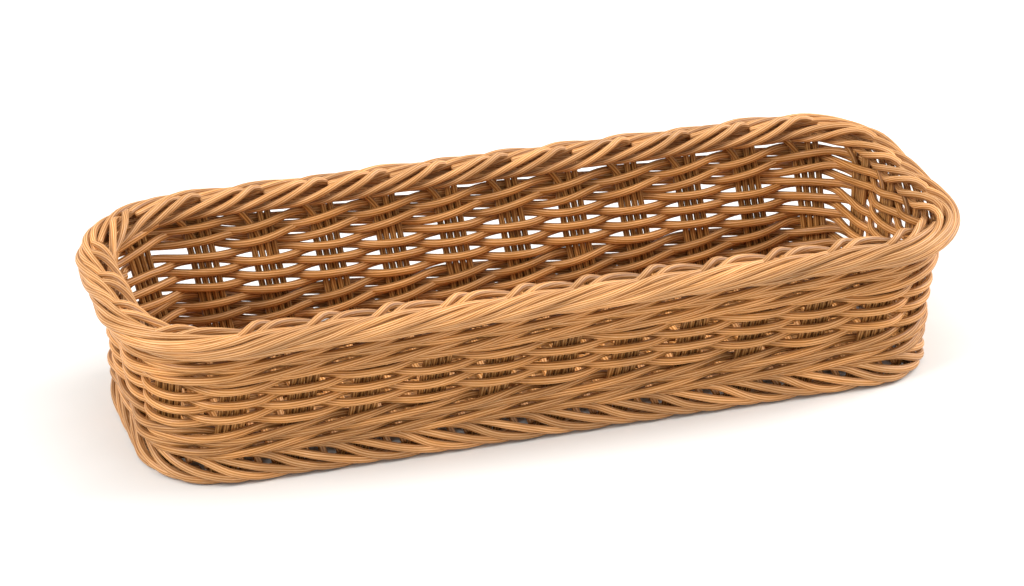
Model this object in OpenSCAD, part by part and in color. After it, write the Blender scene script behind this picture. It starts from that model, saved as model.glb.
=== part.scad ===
// Long woven bread basket: ribbed plastic strand over bundled stakes.
//
// The basket stands on z = 0 with its middle over the origin. Its long sides run
// along X and the front faces -Y. The woven rows really pass before and behind the
// stakes without cutting into them.
//
// Places on the wall are given as wall(s, z, d): s counts stakes round the basket,
// counter-clockwise from the first front stake, z is the height, and d is the
// distance outwards from the middle of the wall.

/* [Size] */
// Half of the length at the foot, to the middle of the wall
half_length = 181; // [150:1:220]
// Half of the width at the foot, to the middle of the wall
half_width = 60.5; // [56:0.5:90]
// Height of the middle of the rolled rim
rim_z = 72.5; // [70:0.5:90]
// How far the wall leans out for each millimetre of height
flare = 0.127; // [0.1:0.001:0.18]
// How far the stakes lean along the wall for each millimetre of height
lean = 0.16; // [0:0.01:0.2]

/* [Corners, at the foot] */
// Front right corner radius
front_right_r = 29; // [24:1:40]
// Back right corner radius
back_right_r = 24; // [24:1:40]
// Back left corner radius, which is rounder than the others
back_left_r = 42; // [24:1:48]
// Front left corner radius
front_left_r = 31; // [24:1:40]

/* [Strands] */
// Radius of a weaving strand
weaver_r = 1.65; // [1.4:0.05:1.7]
// Radius of a stake strand
stake_r = 1.4; // [1.2:0.05:1.5]
// Stakes round the basket, an odd number so that one weaver alternates by itself
stakes = 31; // [29:2:33]
// Strands side by side in one stake
strands_per_stake = 4; // [3:1:4]
// Weaver to stake distance, centre to centre
weave_gap = 3.75; // [3.7:0.05:4]

/* [Wall] */
// Height of the lowest strand of the lower wale
lower_wale_z = 13; // [12:0.5:14]
// Height that one round of three-strand wale takes
wale_rise = 7.5; // [7:0.1:7.5]
// Height that one lap of the plain weaver takes
row_rise = 3.65; // [3.5:0.05:3.65]
// Points along a strand from one stake to the next
steps_per_stake = 4; // [4:1:6]

/* [Rim and foot] */
// Half width of the rolled rim, to the middle of its strands
rim_half_w = 7; // [6.5:0.1:7.5]
// How far the middle of the roll lies outside the middle of the wall
rim_out = 2.4; // [0:0.1:3]
// Half height of the rolled rim, to the middle of its strands
rim_half_h = 5.7; // [5.5:0.1:6.5]
// Stakes that one rim strand passes on its way round the roll
rim_run = 4.4; // [4.2:0.1:4.6]
// Stakes that one foot strand passes
foot_run = 2; // [1.9:0.1:2.2]
// How far the foot strands swing out and in from the middle of the wall
foot_swing = 4.4; // [3:0.1:5]

/* [Base] */
// Lengthwise stakes in the base
base_stakes = 5; // [3:2:5]
// Crosswise weavers in the base
base_weavers = 30; // [20:1:40]

/* [Hidden] */
$fn = 24;
corner_r = [front_right_r, back_right_r, back_left_r, front_left_r];
// Where the first front stake stands, from the middle of the front
first_stake_x = -152;
// The four sides in the order they are walked, and the height that sets the spacing
ways = [[1, 0], [0, 1], [-1, 0], [0, -1]];
spacing_z = 36;
stake_top = rim_z - rim_half_h - weaver_r - 0.2;
plain_z = lower_wale_z + 2 * wale_rise;
rows = 6;
upper_wale_z = plain_z + rows * row_rise;
foot_top = lower_wale_z - 1.8;
// Where each lap of the wall starts and ends, in stakes from the first
seam = 14;
// The base lies inside the foot, just clear of the ground
base_z = 8;
base_step = 21;

// Colours of the strand: fresh, and darker where the wall shades it
light_cane = [0.80, 0.58, 0.36];
dark_cane = [0.66, 0.42, 0.20];

// ---- The outline of the wall ----

function total(v, i = 0) = i < len(v) ? v[i] + total(v, i + 1) : 0;
function unit(v) = v / norm(v);
function turn(v) = [v.y, -v.x];

// Half size of the box corner that ends side i, and the corner's radius, at an offset
function side_half(i, o) = (i % 2 == 0 ? half_length : half_width) + o;
function radius(i, o) = corner_r[i] + o;

// Length of the straight part of side i, and of the corner after it
function straight_len(i, o) =
    2 * side_half(i, o) - radius((i + 3) % 4, o) - radius(i, o);
function corner_len(i, o) = radius(i, o) * PI / 2;

spacing_o = flare * spacing_z;
parts = [for (i = [0 : 3]) each [straight_len(i, spacing_o), corner_len(i, spacing_o)]];
around = total(parts);
pitch = around / stakes;

// Which part of the outline the distance u falls in, and how far into it, from 0 to 1
function place(u, i = 0) =
    u < parts[i] || i == 7 ? [i, u / parts[i]] : place(u - parts[i], i + 1);

// Point and outward direction of the outline at offset o
function outline(u, o) =
    let (at = place(u), i = floor(at[0] / 2), along = ways[i], out = turn(along),
         r0 = radius((i + 3) % 4, o), r1 = radius(i, o),
         start = along * (r0 - side_half(i, o)) + out * side_half(i + 1, o),
         end = along * (side_half(i, o) - r1) + out * side_half(i + 1, o))
    at[0] % 2 == 0
        ? [start + (end - start) * at[1], out]
        : let (a = 90 * at[1], dir = out * cos(a) + along * sin(a))
          [end - out * r1 + dir * r1, dir];

function wrap(u) = u - around * floor(u / around);
first_u = first_stake_x - (radius(3, spacing_o) - side_half(0, spacing_o));

// A point of the wall: s stakes along, z up, d outwards. The stakes lean onwards.
function wall(s, z, d) =
    let (u = first_u + s * pitch + lean * (z - spacing_z),
         p = outline(wrap(u), flare * z), xy = p[0] + d * p[1])
    [xy.x, xy.y, z];

// ---- Strands ----

// Points of a path f from one value to another, about one step apart
function way(f, from, to, step) =
    let (n = round((to - from) / step))
    [for (k = [0 : n]) f(from + (to - from) * k / n)];

// Puts a child into the frame with axes x, y, z and origin o
module place_on(x, y, z, o) {
    multmatrix([[x[0], y[0], z[0], o[0]],
                [x[1], y[1], z[1], o[1]],
                [x[2], y[2], z[2], o[2]],
                [0, 0, 0, 1]])
        children();
}

// A six-sided strand of radius r that is swept along the points w
module strand(w, r) {
    sides = 6;
    last = len(w) - 1;
    ring = function(i)
        let (t = unit(w[min(i + 1, last)] - w[max(i - 1, 0)]),
             x = unit(cross(t, [0, 0, 1])), y = cross(t, x))
        [for (k = [0 : sides - 1])
            w[i] + r * (x * cos(360 * k / sides) + y * sin(360 * k / sides))];
    near_cap = [for (k = [0 : sides - 1]) k];
    far_cap = [for (k = [sides - 1 : -1 : 0]) last * sides + k];
    side_faces = [for (i = [0 : last - 1], k = [0 : sides - 1])
        let (a = i * sides + k, b = i * sides + (k + 1) % sides)
        each [[a, a + sides, b + sides], [a, b + sides, b]]];
    polyhedron([for (i = [0 : last]) each ring(i)], concat([near_cap, far_cap], side_faces));
}

// ---- Base ----

function over_under(x, k) = (k % 2 == 0 ? 1 : -1) * cos(180 * x);

module base_stakes() {
    color(dark_cane)
        for (b = [0 : base_stakes - 1], k = [0 : strands_per_stake - 1]) {
            y = (b - (base_stakes - 1) / 2) * base_step
                + (k - (strands_per_stake - 1) / 2) * 2.1 * stake_r;
            half = half_length - 8;
            translate([-half, y, base_z])
                rotate([0, 90, 0])
                    cylinder(h = 2 * half, r = stake_r);
        }
}

module base_weavers() {
    reach = (base_stakes + 1) / 2;
    gap = 2 * (half_length - 12) / (base_weavers - 1);
    color(light_cane)
        for (k = [0 : base_weavers - 1])
            strand(way(function(t) [12 - half_length + k * gap, t * base_step,
                                    base_z + weave_gap * over_under(t, k)],
                       -reach + 0.5, reach - 0.5, 1), weaver_r);
}

// ---- Stakes ----

// One upright: parallel strands side by side, facing out of the wall
module stake_bundle(s) {
    foot = wall(s, lower_wale_z - 6, 0);
    top = wall(s, stake_top, 0);
    up = unit(top - foot);
    across = unit(cross(up, wall(s, 0, 1) - wall(s, 0, 0)));
    for (k = [0 : strands_per_stake - 1])
        place_on(across, cross(up, across), up,
                 foot + (k - (strands_per_stake - 1) / 2) * 2.1 * stake_r * across)
            cylinder(h = norm(top - foot), r = stake_r);
}

module stake_run(from, to) {
    color(dark_cane)
        for (s = [from : to])
            stake_bundle(s);
}

module front_stakes() { stake_run(0, 10); }
module right_stakes() { stake_run(11, 15); }
module back_stakes() { stake_run(16, 25); }
module left_stakes() { stake_run(26, stakes - 1); }

// ---- Wall ----

// One lap of a flat strand at height z: in_out(s) says how far out it lies at stake s
module lap(in_out, z, h) {
    t = weaver_r * 0.9;
    n = stakes * steps_per_stake - 1;
    edge = function(side) [for (k = [0 : n])
        let (at = seam + k / steps_per_stake, p = wall(at, z, in_out(at) + side * t))
        [p.x, p.y]];
    out_edge = edge(1);
    in_edge = edge(-1);
    translate([0, 0, z - h / 2])
        linear_extrude(h)
            polygon(concat(out_edge, [for (k = [n : -1 : 0]) in_edge[k]]));
}

// The plain weaver passes before one stake and behind the next
module wall_weaver_lap(i) {
    color(light_cane)
        lap(function(s) weave_gap * cos(180 * (s + i)), plain_z + row_rise * (i + 0.5),
            2 * weaver_r);
}

module wall_weaver_lap_1() { wall_weaver_lap(0); }
module wall_weaver_lap_2() { wall_weaver_lap(1); }
module wall_weaver_lap_3() { wall_weaver_lap(2); }
module wall_weaver_lap_4() { wall_weaver_lap(3); }
module wall_weaver_lap_5() { wall_weaver_lap(4); }
module wall_weaver_lap_6() { wall_weaver_lap(5); }

// Three-strand wale: each strand lies before two stakes and behind the third
function wale_d(t) =
    let (u = t - 3 * floor(t / 3))
    u <= 1 ? weave_gap : weave_gap * cos(180 * (u - 1));

module wale_strand(z0, i) {
    layer = wale_rise / 3;
    color(light_cane)
        for (lap_no = [0 : 1])
            lap(function(s) wale_d(s + i + lap_no), z0 + (i + 0.5 + 3 * lap_no) * layer,
                layer - 0.1);
}

module lower_wale_strand_1() { wale_strand(lower_wale_z, 0); }
module lower_wale_strand_2() { wale_strand(lower_wale_z, 1); }
module lower_wale_strand_3() { wale_strand(lower_wale_z, 2); }
module upper_wale_strand_1() { wale_strand(upper_wale_z, 0); }
module upper_wale_strand_2() { wale_strand(upper_wale_z, 1); }
module upper_wale_strand_3() { wale_strand(upper_wale_z, 2); }

// ---- Rim and foot ----

// Each rim strand starts in the valley on top, goes down inside, under, and up outside
module rim_strand(s0) {
    turned = function(s) 105 + 330 * (s - s0) / rim_run;
    strand(way(function(s) wall(s, rim_z + rim_half_h * sin(turned(s)),
                                rim_out + rim_half_w * cos(turned(s))),
               s0, s0 + rim_run, rim_run / 8), weaver_r);
}

module rim_first_strands() {
    color(light_cane)
        for (s = [0 : stakes - 1])
            rim_strand(s);
}

module rim_second_strands() {
    color(light_cane)
        for (s = [0 : stakes - 1])
            rim_strand(s + 0.5);
}

// Each foot strand comes down outside to the ground, then turns in under the wall
module foot_strand(s0) {
    drop = function(t) max(0, 1 - 1.5 * t);
    turn_in = function(t) 1 - 2 * max(0, 3 * t - 2);
    strand(way(function(s) let (t = (s - s0) / foot_run)
                   wall(s, weaver_r + (foot_top - weaver_r) * drop(t), foot_swing * turn_in(t)),
               s0, s0 + foot_run, foot_run / 3), weaver_r);
}

module foot_first_strands() {
    color(light_cane)
        for (s = [0 : stakes - 1])
            foot_strand(s);
}

module foot_second_strands() {
    color(light_cane)
        for (s = [0 : stakes - 1])
            foot_strand(s + 0.5);
}

base_stakes();
base_weavers();
front_stakes();
right_stakes();
back_stakes();
left_stakes();
lower_wale_strand_1();
lower_wale_strand_2();
lower_wale_strand_3();
wall_weaver_lap_1();
wall_weaver_lap_2();
wall_weaver_lap_3();
wall_weaver_lap_4();
wall_weaver_lap_5();
wall_weaver_lap_6();
upper_wale_strand_1();
upper_wale_strand_2();
upper_wale_strand_3();
rim_first_strands();
rim_second_strands();
foot_first_strands();
foot_second_strands();
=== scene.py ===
import math

import bpy
import numpy as np
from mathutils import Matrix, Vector


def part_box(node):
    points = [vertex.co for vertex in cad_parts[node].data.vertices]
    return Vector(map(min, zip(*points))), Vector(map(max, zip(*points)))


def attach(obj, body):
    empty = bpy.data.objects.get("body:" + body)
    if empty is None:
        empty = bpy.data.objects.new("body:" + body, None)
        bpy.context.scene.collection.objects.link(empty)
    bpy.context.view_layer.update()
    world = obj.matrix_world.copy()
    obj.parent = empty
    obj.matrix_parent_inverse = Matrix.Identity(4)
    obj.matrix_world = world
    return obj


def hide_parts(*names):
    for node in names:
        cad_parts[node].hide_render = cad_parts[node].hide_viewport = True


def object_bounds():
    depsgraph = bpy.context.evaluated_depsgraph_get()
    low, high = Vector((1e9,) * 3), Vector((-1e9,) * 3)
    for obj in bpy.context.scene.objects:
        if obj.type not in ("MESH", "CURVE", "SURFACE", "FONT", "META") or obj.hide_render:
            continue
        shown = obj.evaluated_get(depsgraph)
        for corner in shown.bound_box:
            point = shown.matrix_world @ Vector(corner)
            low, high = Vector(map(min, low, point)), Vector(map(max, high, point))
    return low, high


# Long woven bread basket. Every strand is swept along its real path through the weave.
# All lengths are in metres. s counts stakes round the wall, counter-clockwise seen from
# above, starting at the first stake of the front.

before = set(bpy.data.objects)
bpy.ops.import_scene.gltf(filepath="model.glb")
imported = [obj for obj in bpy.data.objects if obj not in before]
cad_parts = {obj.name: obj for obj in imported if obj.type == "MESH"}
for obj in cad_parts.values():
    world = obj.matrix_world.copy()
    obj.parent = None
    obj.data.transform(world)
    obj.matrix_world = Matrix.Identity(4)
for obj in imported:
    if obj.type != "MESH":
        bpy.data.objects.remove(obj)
cadLow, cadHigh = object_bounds()
dice = np.random.default_rng(11)
print("frame loaded")


# the wall that everything is woven round
wallShape = {
    "stakes": 31,                               # odd, so that one weaver alternates by itself
    "firstStake": -0.152,                       # x of the first front stake
    "evenHeight": 0.036,                        # height at which the stakes are evenly spaced
    "lean": 0.16,                               # how far the stakes lean along the wall, per height
    "corners": (0.029, 0.024, 0.042, 0.031),    # front right, back right, back left, front left
    "bandReach": 0.00523,                       # middle of the wall to the outside of a CAD lap
}

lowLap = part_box("wall_weaver_lap_1")
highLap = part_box("wall_weaver_lap_6")
lowLapZ = (lowLap[0].z + lowLap[1].z) / 2
highLapZ = (highLap[0].z + highLap[1].z) / 2
rowRise = (highLapZ - lowLapZ) / 5
flare = (highLap[1].x - highLap[0].x - lowLap[1].x + lowLap[0].x) / 2 / (highLapZ - lowLapZ)
halfLength = (lowLap[1].x - lowLap[0].x) / 2 - wallShape["bandReach"] - flare * lowLapZ
halfWidth = (lowLap[1].y - lowLap[0].y) / 2 - wallShape["bandReach"] - flare * lowLapZ

stakeCount = wallShape["stakes"]
corners = np.array(wallShape["corners"])
sideWays = np.array([(1, 0), (0, 1), (-1, 0), (0, -1)], float)
evenOffset = flare * wallShape["evenHeight"]


def partLengths(offset):
    # straight side and corner in turn, four times round
    lengths = []
    for i in range(4):
        half = (halfLength if i % 2 == 0 else halfWidth) + offset
        lengths.append(2 * half - corners[i - 1] - corners[i] - 2 * offset)
        lengths.append((corners[i] + offset) * math.pi / 2)
    return np.array(lengths)


lengths = partLengths(evenOffset)
starts = np.concatenate([[0], np.cumsum(lengths)[:-1]])
around = lengths.sum()
pitch = around / stakeCount
firstU = wallShape["firstStake"] - (corners[3] - halfLength)


def wallMiddle(s, z):
    # middle of the wall at stake s and height z, and the way out from it
    u = np.mod(firstU + s * pitch + wallShape["lean"] * (z - wallShape["evenHeight"]), around)
    part = np.clip(np.searchsorted(starts, u, side="right") - 1, 0, 7)
    share = ((u - starts[part]) / lengths[part])[:, None]
    side = part // 2
    offset = flare * z
    along = sideWays[side]
    out = np.stack([along[:, 1], -along[:, 0]], axis=1)
    before = (corners[side - 1] + offset)[:, None]
    after = (corners[side] + offset)[:, None]
    half = (np.where(side % 2 == 0, halfLength, halfWidth) + offset)[:, None]
    other = (np.where(side % 2 == 0, halfWidth, halfLength) + offset)[:, None]
    start = along * (before - half) + out * other
    end = along * (half - after) + out * other
    onSide = (part % 2 == 0)[:, None]
    turned = share * math.pi / 2
    direction = np.where(onSide, out, out * np.cos(turned) + along * np.sin(turned))
    middle = np.where(onSide, start + (end - start) * share, end - out * after + direction * after)
    return middle, direction


def onWall(s, z, d):
    # points s stakes along, z up and d out from the middle of the wall, and the way out
    s = np.asarray(s, float)
    z = np.broadcast_to(np.asarray(z, float), s.shape)
    d = np.broadcast_to(np.asarray(d, float), s.shape)
    middle, direction = wallMiddle(s, z)
    flat = middle + direction * d[:, None]
    points = np.column_stack([flat, z])
    outward = np.column_stack([direction, np.full(len(s), -flare)])
    return points, outward


handMark = {
    "waves": 3,
    "quicker": 0.7,        # how much quicker each wave is than the one before
    "total": 1.6,          # height of all the waves together, before it is evened out
}


def wobble(s, size, wave):
    # slow unevenness along a strand, as a hand leaves it
    total = np.zeros(len(s))
    for k in range(handMark["waves"]):
        turns = s / wave * (1 + handMark["quicker"] * k)
        total += np.sin(turns * 2 * math.pi + dice.uniform(0, 2 * math.pi)) / (1 + k)
    return total * size / handMark["total"]


def smooth(values, spread):
    # rounds off the bends of a path that was given by a few points
    width = max(1, int(round(spread)))
    ramp = np.concatenate([np.arange(1, width + 1), np.arange(width - 1, 0, -1)]).astype(float)
    padded = np.concatenate([np.full(width - 1, values[0]), values, np.full(width - 1, values[-1])])
    return np.convolve(padded, ramp / ramp.sum(), mode="valid")


def flatTop(swing):
    # a strand lies flatter over a stake than a plain wave would
    return swing * (1.25 - 0.25 * swing * swing)


def through(s, keys, column):
    # one column of a table of keys, read at every s
    return np.interp(s, [k[0] for k in keys], [k[column] for k in keys])


print("wall: half length %.1f mm, half width %.1f mm, flare %.3f, pitch %.2f mm"
      % (halfLength * 1000, halfWidth * 1000, flare, pitch * 1000))


# one strand, ribbed along its length
strandShape = {
    "ribs": 10,                # lengthwise ribs round a strand
    "stakeRibs": 7,            # fewer on the thinner strands of stakes and base
    "perRib": 4,               # mesh points from one rib to the next
    "ribDepth": 0.060,         # depth of the grooves, as a share of the radius
    # half widths and half thicknesses
    "weaverWide": 0.00202,     # in the wales
    "rowWide": 0.00206,        # the plain weaver
    "weaverThick": 0.00172,
    "borderWide": 0.00170,     # in the rim
    "footWide": 0.00198,
    "borderThick": 0.00176,    # rim and foot
    "stakeWide": 0.00158,
    "stakeThick": 0.00135,
    "step": 0.0026,            # between two rings of the mesh
    "twist": (0.5, 0.09),      # how far the ribs turn back and forth, and over what length
    "tipReach": (0.55, 0.35),  # rounded ends: how far the last two rings stand out, per thickness
    "tipSize": (0.45, 0.82),   # and their size
}


def unitRows(v):
    return v / np.linalg.norm(v, axis=1)[:, None]


def sweepStrand(points, outward, halfWide, halfThick, ribs=strandShape["ribs"]):
    # one ribbed strand with rounded ends: its points, its faces and what the material reads
    perRib = strandShape["perRib"]
    count = ribs * perRib
    tipFar, tipNear = (reach * halfThick for reach in strandShape["tipReach"])
    first = unitRows(points[:1] - points[1:2])
    last = unitRows(points[-1:] - points[-2:-1])
    points = np.concatenate([points[:1] + first * tipFar, points[:1] + first * tipNear, points,
                             points[-1:] + last * tipNear, points[-1:] + last * tipFar])
    outward = np.concatenate([outward[:1], outward[:1], outward, outward[-1:], outward[-1:]])
    size = np.ones(len(points))
    size[[0, -1]], size[[1, -2]] = strandShape["tipSize"]
    ahead = np.empty_like(points)
    ahead[1:-1] = points[2:] - points[:-2]
    ahead[0] = points[1] - points[0]
    ahead[-1] = points[-1] - points[-2]
    ahead = unitRows(ahead)
    wide = unitRows(np.cross(outward, ahead))
    thick = np.cross(ahead, wide)
    along = np.concatenate([[0], np.cumsum(np.linalg.norm(np.diff(points, axis=0), axis=1))])
    ring = np.arange(count)
    ridge = np.abs(np.sin(math.pi * (ring % perRib) / perRib))
    reach = 1 - strandShape["ribDepth"] * (1 - ridge)
    turned = wobble(along, *strandShape["twist"]) + dice.uniform(0, 2 * math.pi / ribs)
    angle = -math.pi / 2 + 2 * math.pi * ring[None, :] / count + turned[:, None]
    across = (np.cos(angle) * halfWide * reach * size[:, None])[:, :, None]
    proud = (np.sin(angle) * halfThick * reach * size[:, None])[:, :, None]
    verts = points[:, None, :] + wide[:, None, :] * across + thick[:, None, :] * proud
    rings = len(points)
    a = np.arange(rings - 1)[:, None] * count + ring[None, :]
    b = np.arange(rings - 1)[:, None] * count + (ring[None, :] + 1) % count
    quads = np.stack([a, b, b + count, a + count], axis=2).reshape(-1, 4)
    caps = np.stack([ring[::-1], (rings - 1) * count + ring])
    return {
        "verts": verts.reshape(-1, 3),
        "quads": quads,
        "caps": caps,
        "rib": np.tile(ridge, rings),
        "along": np.repeat(along, count),
        "around": np.tile(ring / count, rings),
        "tone": np.full(rings * count, dice.uniform(0, 1)),
        "side": np.abs(np.cos(angle)).ravel(),   # 1 where it touches the strand beside it; masks the painted crevice shade
    }


def buildPiece(name, strands, nodes, finish):
    # one object from several strands
    mesh = bpy.data.meshes.new(name)
    offsets = np.concatenate([[0], np.cumsum([len(t["verts"]) for t in strands])[:-1]])
    verts = np.concatenate([t["verts"] for t in strands])
    corner, sizes = [], []
    for t, offset in zip(strands, offsets):
        corner += [(t["quads"] + offset).ravel(), (t["caps"] + offset).ravel()]
        sizes += [np.full(len(t["quads"]), 4), np.full(2, t["caps"].shape[1])]
    corner = np.concatenate(corner).astype(np.int32)
    sizes = np.concatenate(sizes)
    mesh.vertices.add(len(verts))
    mesh.vertices.foreach_set("co", verts.astype(np.float32).ravel())
    mesh.loops.add(len(corner))
    mesh.loops.foreach_set("vertex_index", corner)
    mesh.polygons.add(len(sizes))
    mesh.polygons.foreach_set("loop_start", np.concatenate([[0], np.cumsum(sizes)[:-1]]).astype(np.int32))
    mesh.polygons.foreach_set("use_smooth", np.ones(len(sizes), bool))
    for key in ("rib", "along", "around", "tone", "side"):
        layer = mesh.attributes.new(key, "FLOAT", "POINT")
        layer.data.foreach_set("value", np.concatenate([t[key] for t in strands]).astype(np.float32))
    mesh.update(calc_edges=True)
    mesh.validate()
    mesh.materials.append(finish)
    piece = bpy.data.objects.new(name, mesh)
    bpy.context.scene.collection.objects.link(piece)
    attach(piece, "root")
    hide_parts(*nodes)
    return piece


# colours of the three kinds of strand: the weaver's own, and for stakes and border copies of it darkened as
# painted shade and lightened as painted light
weaverLook = {
    "groove": (0.230, 0.074, 0.009),   # painted shade, dark brown between the ribs
    "body": (0.48, 0.186, 0.030),      # honey tan
    "ridge": (0.66, 0.345, 0.135),     # painted highlight along the ribs
    "wornHighlight": (0.93, 0.70, 0.50),        # pale scuffs on the highest places, partly wear and partly painted highlight
    "creviceShade": (0.120, 0.036, 0.004),  # painted shade where neighbouring strands touch
    "creviceShadeShare": 0.60,
    "roughness": (0.38, 0.58),
}
# stake strands: the weaver's colours darkened as painted shade, for where they stand in the shade behind the
# weavers
shadedStakeLook = dict(weaverLook, groove=(0.150, 0.046, 0.006), body=(0.31, 0.116, 0.018),
                 ridge=(0.50, 0.245, 0.072))
# rim and foot strands: the weaver's colours lightened as painted light, for the rim's upward-facing strands,
# with a paler painted highlight on the ridges
litBorderLook = dict(weaverLook, groove=(0.29, 0.100, 0.016), body=(0.51, 0.212, 0.048),
                  ridge=(0.70, 0.395, 0.180), creviceShadeShare=0.56)

# grain of the strand, the same for all three
grain = {
    # how close the marks lie along the strand and round it, and how much strands differ
    "streak": (55.0, 20.0, 90.0),
    "fine": (420.0, 60.0, 130.0),
    "patch": 42.0,                 # slow change of tone over the whole basket
    "streakShift": 0.26,           # how far streaks move the change from groove to ridge
    "bodyAt": 0.52,                # height on the rib where the body colour lies
    "toneRange": (0.78, 1.16),     # darkest and lightest strand
    "patchRange": (0.86, 1.13),
    "creviceShadeFrom": 0.82,           # how far round the side the painted crevice shade begins
    "scuffHighlight": (0.60, 0.74, 0.75),   # where scuffs and their painted highlight begin, where they are full, and how strong
    "specular": 0.36,
    "bump": 0.5,
    "bumpHeight": 0.00012,
}


def strandFinish(name, look):
    mat = bpy.data.materials.new(name)
    mat.use_nodes = True
    tree = mat.node_tree
    tree.nodes.clear()
    link = tree.links.new

    def attribute(key):
        node = tree.nodes.new("ShaderNodeAttribute")
        node.attribute_name = key
        return node.outputs["Fac"]

    def maths(kind, a, b, clamp=False):
        node = tree.nodes.new("ShaderNodeMath")
        node.operation = kind
        node.use_clamp = clamp
        for socket, value in zip(node.inputs, (a, b)):
            if isinstance(value, (int, float)):
                socket.default_value = value
            else:
                link(value, socket)
        return node.outputs[0]

    def spread(value, low, high, toLow, toHigh):
        node = tree.nodes.new("ShaderNodeMapRange")
        link(value, node.inputs[0])
        for socket, number in zip(node.inputs[1:5], (low, high, toLow, toHigh)):
            socket.default_value = number
        return node.outputs[0]

    def noise(vector, scale, detail, rough=0.55):
        node = tree.nodes.new("ShaderNodeTexNoise")
        link(vector, node.inputs["Vector"])
        node.inputs["Scale"].default_value = scale
        node.inputs["Detail"].default_value = detail
        node.inputs["Roughness"].default_value = rough
        return node.outputs["Fac"]

    def blended(kind, share, a, b):
        node = tree.nodes.new("ShaderNodeMix")
        node.data_type = "RGBA"
        node.blend_type = kind
        for socket, value in ((node.inputs[0], share), (node.inputs[6], a), (node.inputs[7], b)):
            if isinstance(value, (int, float)):
                socket.default_value = value
            elif isinstance(value, tuple):
                socket.default_value = (*value, 1)
            else:
                link(value, socket)
        return node.outputs[2]

    rib = attribute("rib")
    along = attribute("along")
    roundIt = attribute("around")
    tone = attribute("tone")
    side = attribute("side")

    def stretched(scales):
        # long in the strand's own direction, short across it
        node = tree.nodes.new("ShaderNodeCombineXYZ")
        for socket, value, scale in zip(node.inputs, (along, roundIt, tone), scales):
            link(maths("MULTIPLY", value, scale), socket)
        return node.outputs[0]

    streak = noise(stretched(grain["streak"]), 1.0, 4.0, 0.6)
    fine = noise(stretched(grain["fine"]), 1.0, 3.0, 0.65)
    place = tree.nodes.new("ShaderNodeTexCoord")
    patch = noise(place.outputs["Object"], grain["patch"], 3.0)

    # the rib's height decides between groove, body and ridge, with painted shade in the groove and a painted
    # highlight on the ridge; streaks shift where they change
    shift = grain["streakShift"]
    height = maths("ADD", rib, spread(streak, 0.3, 0.7, -shift, shift))
    ramp = tree.nodes.new("ShaderNodeValToRGB")
    ramp.color_ramp.elements[0].position = 0.0
    ramp.color_ramp.elements[0].color = (*look["groove"], 1)
    ramp.color_ramp.elements[1].position = 1.0
    ramp.color_ramp.elements[1].color = (*look["ridge"], 1)
    middle = ramp.color_ramp.elements.new(grain["bodyAt"])
    middle.color = (*look["body"], 1)
    link(height, ramp.inputs[0])

    level = maths("MULTIPLY", spread(tone, 0, 1, *grain["toneRange"]),
                  spread(patch, 0.3, 0.7, *grain["patchRange"]))
    grey = tree.nodes.new("ShaderNodeCombineColor")
    for socket in grey.inputs[:3]:
        link(level, socket)
    colour = blended("MULTIPLY", 1.0, ramp.outputs[0], grey.outputs[0])
    # painted shade: each strand's sides darken towards the crevice colour, where neighbouring strands would
    # shade them
    creviceShade = spread(side, grain["creviceShadeFrom"], 1.0, 0, look["creviceShadeShare"])
    colour = blended("MIX", creviceShade, colour, look["creviceShade"])
    # scuffs on the rib tops: partly wear, partly painted highlight
    scuffHighlightFrom, scuffHighlightFull, scuffHighlightShare = grain["scuffHighlight"]
    scuffHighlight = maths("MULTIPLY", spread(fine, scuffHighlightFrom, scuffHighlightFull, 0, scuffHighlightShare),
                  spread(rib, 0.5, 1, 0, 1), True)
    colour = blended("MIX", scuffHighlight, colour, look["wornHighlight"])

    shine = tree.nodes.new("ShaderNodeBsdfPrincipled")
    link(colour, shine.inputs["Base Color"])
    marks = maths("ADD", streak, maths("MULTIPLY", fine, 0.5))
    link(spread(marks, 0.45, 1.05, *look["roughness"]), shine.inputs["Roughness"])
    shine.inputs["Specular IOR Level"].default_value = grain["specular"]
    bump = tree.nodes.new("ShaderNodeBump")
    bump.inputs["Strength"].default_value = grain["bump"]
    bump.inputs["Distance"].default_value = grain["bumpHeight"]
    link(maths("ADD", fine, streak), bump.inputs["Height"])
    link(bump.outputs[0], shine.inputs["Normal"])
    out = tree.nodes.new("ShaderNodeOutputMaterial")
    link(shine.outputs[0], out.inputs[0])
    return mat


weaverFinish = strandFinish("weaverFinish", weaverLook)
shadedStakeFinish = strandFinish("shadedStakeFinish", shadedStakeLook)
litBorderFinish = strandFinish("litBorderFinish", litBorderLook)
print("finishes made")


# upright stakes, four strands side by side
stakes = {
    "perStake": 4,
    "spacing": 0.0034,         # from one strand of a stake to the next
    "bottom": 0.0050,
    "top": 0.0722,
    "leaning": 2,              # the strand that leaves its stake at the top to join the rim
    "leanFrom": 0.0530,
    "leanAlong": 0.30,         # in stakes
    "leanIn": 0.0030,
    "step": 0.00312,           # between two rings of the mesh
    "slide": 0.0004,           # how far a stake may stand from its place
    "alongWobble": (0.00016, 0.04),    # size and wave
    "outWobble": (0.00014, 0.05),
    "sides": (("front_stakes", range(0, 11)), ("right_stakes", range(11, 16)),
              ("back_stakes", range(16, 26)), ("left_stakes", range(26, 31))),
}


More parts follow.
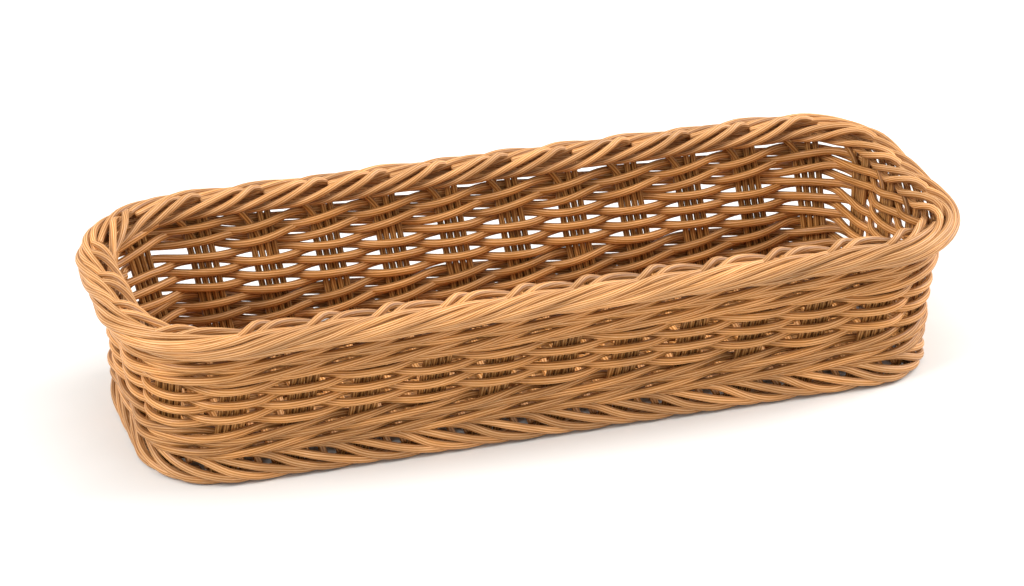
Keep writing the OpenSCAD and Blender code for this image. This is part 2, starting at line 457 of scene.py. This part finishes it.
def makeStake(number, node):
    strands = []
    slide = dice.uniform(-stakes["slide"], stakes["slide"])
    for k in range(stakes["perStake"]):
        z = np.arange(stakes["bottom"], stakes["top"], stakes["step"])
        beside = (k - (stakes["perStake"] - 1) / 2) * stakes["spacing"] + slide
        s = number + (beside + wobble(z, *stakes["alongWobble"])) / pitch
        d = wobble(z, *stakes["outWobble"])
        if k == stakes["leaning"]:
            bent = np.clip((z - stakes["leanFrom"]) / (stakes["top"] - stakes["leanFrom"]), 0, 1) ** 2
            s = s + bent * stakes["leanAlong"]
            d = d - bent * stakes["leanIn"]
        points, outward = onWall(s, z, d)
        strands.append(sweepStrand(points, outward, strandShape["stakeWide"], strandShape["stakeThick"],
                                   strandShape["stakeRibs"]))
    return buildPiece("stake_%02d" % (number + 1), strands, [node], shadedStakeFinish)


for node, numbers in stakes["sides"]:
    for number in numbers:
        makeStake(number, node)
print("%d stakes made" % stakeCount)


# the two wales and the plain weaver between them
weave = {
    "out": 0.0035,         # middle of the wall to the middle of a strand that passes a stake
    "seam": 26.4,          # where rounds begin and end, in stakes
    "stepUp": 2.5,         # stakes that a strand takes to climb to its next round
    "waleSwing": 0.0034,   # how far a wale strand rises and falls about its round
    "rowSwing": 0.0002,    # and how far the plain weaver does
    "rows": 6,
    "waleRise": 0.92,      # from one wale round to the next, against the plain stand-in
    # how far out a wale strand lies, against "out": over a stake, more between two, less behind
    "waleOut": 0.92,
    "waleBelly": 0.34,
    "waleDip": 0.1,
    "waleStart": 0.4,      # stakes from the start of one wale strand to the next
    # size of the unevenness, and its wave in stakes
    "rowOutWobble": (0.00018, 5.3),
    "rowUpWobbles": ((0.00022, 3.7), (0.00016, 1.3)),
    "waleOutWobble": (0.00015, 4.1),
    "waleUpWobble": (0.00018, 2.9),
}


def lapClimb(s):
    # 0 in the first round, 1 in the second and so on, with a soft step at the seam
    turn = (s - weave["seam"]) / stakeCount
    whole = np.floor(turn)
    rest = np.clip((turn - whole - 1) * stakeCount / weave["stepUp"] + 1, 0, 1)
    return whole + rest * rest * (3 - 2 * rest)


def ringsAlong(stakesPassed):
    return int(stakesPassed * pitch / strandShape["step"])


def makeWeaver():
    # one strand goes before one stake and behind the next, round after round
    first = weave["seam"]
    s = np.linspace(first, first + weave["rows"] * stakeCount, ringsAlong(weave["rows"] * stakeCount))
    swing = np.cos(math.pi * s)
    d = weave["out"] * flatTop(swing) + wobble(s, *weave["rowOutWobble"])
    z = lowLapZ + rowRise * lapClimb(s) + weave["rowSwing"] * np.sin(math.pi * s)
    for size, wave in weave["rowUpWobbles"]:
        z = z + wobble(s, size, wave)
    points, outward = onWall(s, z, d)
    nodes = ["wall_weaver_lap_%d" % (k + 1) for k in range(weave["rows"])]
    strand = sweepStrand(points, outward, strandShape["rowWide"], strandShape["weaverThick"])
    return buildPiece("wall_weaver", [strand], nodes, weaverFinish)


def makeWaleStrand(band, number, bottom, rise):
    # three strands take turns: each lies before two stakes, then behind the third
    first = weave["seam"] + number * weave["waleStart"]
    s = np.linspace(first, first + 2 * stakeCount, ringsAlong(2 * stakeCount))
    phase = np.mod(s + number, 3)
    before = weave["waleOut"] + weave["waleBelly"] * np.sin(math.pi * phase)
    turned = math.pi * (phase - 1)
    behind = weave["waleOut"] * np.cos(turned) - weave["waleDip"] * np.sin(turned)
    d = smooth(weave["out"] * np.where(phase <= 1, before, behind), 3)
    d = d + wobble(s, *weave["waleOutWobble"])
    up = np.mod(phase + 0.5, 3)       # climbs outside past two stakes, drops inside past the third
    swing = weave["waleSwing"] * np.where(up < 2, up - 1, 5 - 2 * up)
    z = bottom + rise * (0.5 + lapClimb(s)) + smooth(swing, 4) + wobble(s, *weave["waleUpWobble"])
    points, outward = onWall(s, z, d)
    strand = sweepStrand(points, outward, strandShape["weaverWide"], strandShape["weaverThick"])
    name = "%s_wale_strand_%d" % (band, number + 1)
    return buildPiece(name, [strand], [name], weaverFinish)


makeWeaver()
for band in ("lower", "upper"):
    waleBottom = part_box(band + "_wale_strand_1")[0].z
    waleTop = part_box(band + "_wale_strand_3")[1].z
    waleRise = (waleTop - waleBottom) / 2 * weave["waleRise"]
    for number in range(3):
        # the lower wale keeps its bottom edge, the upper wale its top edge
        bottom = waleBottom if band == "lower" else waleTop - 2 * waleRise
        makeWaleStrand(band, number, bottom, waleRise)
print("wall woven")


# rolled rim, two strands to each stake
rimLow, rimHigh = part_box("rim_first_strands")
rim = {
    "middle": (rimLow.z + rimHigh.z) / 2,
    "out": 0.0024,           # middle of the roll to the middle of the wall
    "halfHigh": (rimHigh.z - rimLow.z) / 2 - strandShape["weaverThick"],
    "halfWide": 0.0074,
    "begin": -0.18,          # where the first strand of each pair starts, from its stake
    "slide": 0.03,           # how far a strand may start from its place, in stakes
    "sizeSpread": 0.065,     # how much strands differ in the size of their turn
    # unevenness and its wave: degrees for the turn, a share for the size
    "turnWobble": (2.5, 2.3),
    "sizeWobble": (0.03, 1.7),
    # stakes passed, degrees round the roll from straight out, share of the roll's size
    "first": ((0.0, 56, 0.40), (0.06, 80, 0.82), (0.14, 102, 1.20), (0.26, 120, 1.30), (0.46, 140, 1.22),
              (0.70, 165, 1.04), (1.0, 202, 0.88), (1.35, 247, 0.74), (1.75, 285, 0.92), (2.15, 312, 1.04),
              (3.2, 361, 1.07), (4.15, 415, 1.04), (4.45, 434, 0.80), (4.75, 452, 0.52), (4.95, 463, 0.40)),
    "second": ((0.23, 56, 0.40), (0.32, 80, 0.80), (0.44, 101, 1.08), (0.62, 119, 1.14), (0.90, 142, 1.08),
               (1.18, 167, 0.98), (1.5, 204, 0.86), (1.85, 248, 0.73), (2.25, 285, 0.86), (2.65, 312, 0.96),
               (3.7, 355, 0.95), (4.65, 411, 0.92), (4.95, 432, 0.76), (5.25, 452, 0.50), (5.45, 463, 0.40)),
}


def rollStrand(begin, keys):
    passed = np.linspace(keys[0][0], keys[-1][0], ringsAlong(keys[-1][0] - keys[0][0]))
    turned = np.radians(smooth(through(passed, keys, 1), 4) + wobble(passed, *rim["turnWobble"]))
    size = smooth(through(passed, keys, 2), 3) + wobble(passed, *rim["sizeWobble"])
    size = size + dice.uniform(-rim["sizeSpread"], rim["sizeSpread"])
    up = rim["halfHigh"] * size * np.sin(turned)
    out = rim["halfWide"] * size * np.cos(turned)
    points, outward = onWall(rim["begin"] + begin + passed, rim["middle"] + up, rim["out"] + out)
    level = np.column_stack([outward[:, :2], np.zeros(len(passed))])
    facing = level * np.cos(turned)[:, None] + np.array([[0, 0, 1.0]]) * np.sin(turned)[:, None]
    return sweepStrand(points, facing, strandShape["borderWide"], strandShape["borderThick"])


for which in ("first", "second"):
    strands = [rollStrand(k + dice.uniform(-rim["slide"], rim["slide"]), rim[which])
               for k in range(stakeCount)]
    node = "rim_%s_strands" % which
    buildPiece(node, strands, [node], litBorderFinish)
print("rim rolled")


# foot border: strand ends that sweep down and turn in, two to each stake
foot = {
    "begin": 0.66,           # where the first strand of each pair comes out, from its stake
    "slide": 0.03,           # how far a strand may start from its place, in stakes
    "upWobble": (0.0001, 1.1),
    # stakes passed, height, distance out
    "first": ((-0.45, 0.0138, 0.0008), (-0.05, 0.0126, 0.0022), (0.20, 0.0090, 0.0044),
              (0.48, 0.0054, 0.0058), (0.82, 0.0030, 0.0062), (1.2, 0.0022, 0.0046),
              (1.6, 0.0021, -0.0010), (1.9, 0.0030, -0.0035)),
    "second": ((-0.18, 0.0142, 0.0008), (0.20, 0.0134, 0.0022), (0.55, 0.0102, 0.0044),
               (0.92, 0.0068, 0.0058), (1.32, 0.0039, 0.0062), (1.65, 0.0023, 0.0050),
               (2.05, 0.0021, -0.0008), (2.35, 0.0030, -0.0035)),
}


def footStrand(begin, keys):
    passed = np.linspace(keys[0][0], keys[-1][0], ringsAlong(keys[-1][0] - keys[0][0]))
    z = smooth(through(passed, keys, 1), 3) + np.abs(wobble(passed, *foot["upWobble"]))
    d = smooth(through(passed, keys, 2), 3)
    points, outward = onWall(foot["begin"] + begin + passed, z, d)
    return sweepStrand(points, outward, strandShape["footWide"], strandShape["borderThick"])


for which in ("first", "second"):
    strands = [footStrand(k + dice.uniform(-foot["slide"], foot["slide"]), foot[which])
               for k in range(stakeCount)]
    node = "foot_%s_strands" % which
    buildPiece(node, strands, [node], litBorderFinish)
print("foot turned in")


# base: lengthwise bundles with crosswise weavers
baseLow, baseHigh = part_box("base_stakes")
base = {
    "bundles": 5,
    "perBundle": 4,
    "z": (baseLow.z + baseHigh.z) / 2,
    "bundleStep": 0.021,
    "weaverStep": 0.0037,
    "out": 0.0029,
    "wide": 0.00175,
    "thick": 0.0013,
    "inset": 0.0015,         # from the middle of the wall to the ends of the weavers
    "endGap": 0.0035,        # from the end wall to the last weaver
    "weaverRing": 0.0031,    # between two rings of the mesh
    "stakeRing": 0.0045,
    "wobble": (0.00015, 0.06),
}


def insideReach(x, way):
    # how far the base reaches towards the front (-1) or the back (1) at x
    offset = flare * base["z"]
    halfX, halfY = halfLength + offset, halfWidth + offset
    if way < 0:
        r = corners[3] if x < 0 else corners[0]
    else:
        r = corners[2] if x < 0 else corners[1]
    r += offset
    into = max(0.0, abs(x) - (halfX - r))
    return halfY - r + math.sqrt(max(0.0, r * r - into * into)) - base["inset"]


def baseWeavers():
    half = halfLength - base["endGap"]
    count = int(2 * half / base["weaverStep"])
    strands = []
    for k in range(count + 1):
        x = -half + 2 * half * k / count
        y = np.arange(-insideReach(x, -1), insideReach(x, 1), base["weaverRing"])
        sign = 1 if k % 2 == 0 else -1
        swing = sign * np.cos(math.pi * y / base["bundleStep"])
        z = base["z"] + base["out"] * flatTop(swing)
        points = np.column_stack([x + wobble(y, *base["wobble"]), y, z])
        up = np.tile([[0, 0, 1.0]], (len(y), 1))
        strands.append(sweepStrand(points, up, base["wide"], base["thick"], strandShape["stakeRibs"]))
    middle = len(strands) // 2
    halves = {"base_weavers_left": strands[:middle], "base_weavers_right": strands[middle:]}
    for name, share in halves.items():
        buildPiece(name, share, ["base_weavers"], weaverFinish)


def baseStakes():
    strands = []
    for b in range(base["bundles"]):
        for k in range(base["perBundle"]):
            y = ((b - (base["bundles"] - 1) / 2) * base["bundleStep"]
                 + (k - (base["perBundle"] - 1) / 2) * stakes["spacing"])
            x = np.arange(baseLow.x, baseHigh.x, base["stakeRing"])
            points = np.column_stack([x, np.full(len(x), y), np.full(len(x), base["z"])])
            up = np.tile([[0, 0, 1.0]], (len(x), 1))
            strands.append(sweepStrand(points, up, strandShape["stakeWide"], strandShape["stakeThick"],
                                       strandShape["stakeRibs"]))
    buildPiece("base_stakes_bundles", strands, ["base_stakes"], shadedStakeFinish)


baseWeavers()
baseStakes()
print("base woven")


# floor, light and camera
studio = {
    "floorSize": 6.0,
    "floorColour": (0.755, 0.75, 0.73),
    "floorRoughness": 0.9,
    "floorSpecular": 0.1,
    "sky": 0.77,
    # name, place, power, size
    "lamps": (("leftLamp", (-1.9, -0.45, 1.5), 47.0, 1.2), ("rightLamp", (1.9, 0.05, 1.3), 50.0, 1.2),
              ("topLamp", (0.1, -0.2, 2.3), 12.0, 1.4)),
}
camera = {
    "azimuth": -17.8,
    "elevation": 26.2,
    "distance": 1.7,
    "lens": 128.6,
    "aim": 0.44,             # height of the aim, as a share of the basket's height
    "shift": (-0.0062, 0.0108),
    "sensor": 36,
    "seesTo": 50,            # metres
}


def makeFloor():
    bpy.ops.mesh.primitive_plane_add(size=studio["floorSize"])
    floor = bpy.context.object
    floor.name = "floor"
    mat = bpy.data.materials.new("floorFinish")
    mat.use_nodes = True
    shine = mat.node_tree.nodes["Principled BSDF"]
    shine.inputs["Base Color"].default_value = (*studio["floorColour"], 1)
    shine.inputs["Roughness"].default_value = studio["floorRoughness"]
    shine.inputs["Specular IOR Level"].default_value = studio["floorSpecular"]
    floor.data.materials.append(mat)


def makeLamp(name, place, power, size):
    lamp = bpy.data.lights.new(name, "AREA")
    lamp.energy = power
    lamp.size = size
    lampObject = bpy.data.objects.new(name, lamp)
    lampObject.location = place
    lampObject.rotation_euler = Vector(place).to_track_quat("Z", "Y").to_euler()
    bpy.context.scene.collection.objects.link(lampObject)


def makeSky():
    world = bpy.data.worlds.new("sky")
    world.use_nodes = True
    backdrop = world.node_tree.nodes["Background"]
    backdrop.inputs[0].default_value = (1, 1, 1, 1)
    backdrop.inputs[1].default_value = studio["sky"]
    bpy.context.scene.world = world
    bpy.context.scene.view_settings.view_transform = "Standard"


def makeCamera():
    turned, raised = math.radians(camera["azimuth"]), math.radians(camera["elevation"])
    back = Vector((math.sin(turned) * math.cos(raised), -math.cos(turned) * math.cos(raised),
                   math.sin(raised)))
    lens = bpy.data.cameras.new("camera")
    lens.lens = camera["lens"]
    lens.sensor_width = camera["sensor"]
    lens.shift_x, lens.shift_y = camera["shift"]
    lens.clip_end = camera["seesTo"]
    cameraObject = bpy.data.objects.new("camera", lens)
    aim = Vector((0, 0, cadHigh.z * camera["aim"]))
    cameraObject.location = aim + back * camera["distance"]
    cameraObject.rotation_euler = back.to_track_quat("Z", "Y").to_euler()
    bpy.context.scene.collection.objects.link(cameraObject)
    bpy.context.scene.camera = cameraObject


makeFloor()
for lampSet in studio["lamps"]:
    makeLamp(*lampSet)
makeSky()
makeCamera()
print("studio set")
